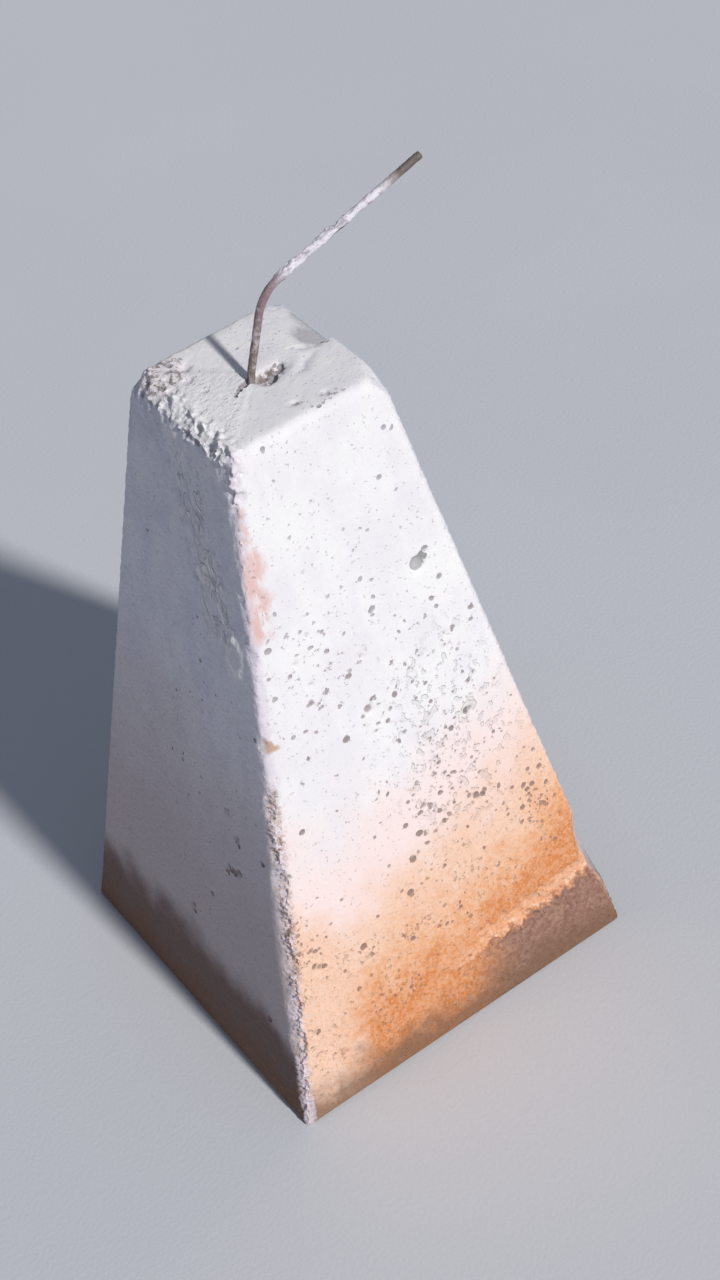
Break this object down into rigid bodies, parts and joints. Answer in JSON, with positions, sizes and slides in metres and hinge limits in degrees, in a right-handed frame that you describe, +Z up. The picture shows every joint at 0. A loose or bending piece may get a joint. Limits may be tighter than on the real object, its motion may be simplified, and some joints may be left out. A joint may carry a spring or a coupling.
{
  "type": "concrete block",
  "caption": "Tall square concrete block that narrows to its top, with worn, chipped and stained sides and a bent steel tie bar cast into the top.",
  "frame": {"origin": "centre of the base, at the level the block stands on", "axes": "+Z up the block's height, +X along the side that the bar's arm points to, -Y out of the front face"},
  "size_m": [0.2992, 0.2992, 0.6421],
  "materials": {
    "limewashed_concrete": "matt limewash over cast concrete, stained by red soil towards the base",
    "rusty_painted_steel": "rusted steel with flaking white paint on its arm"
  },
  "bodies": {
    "root": {"concrete_block": "limewashed_concrete", "tie_bar": "rusty_painted_steel"}
  },
  "joints": []
}
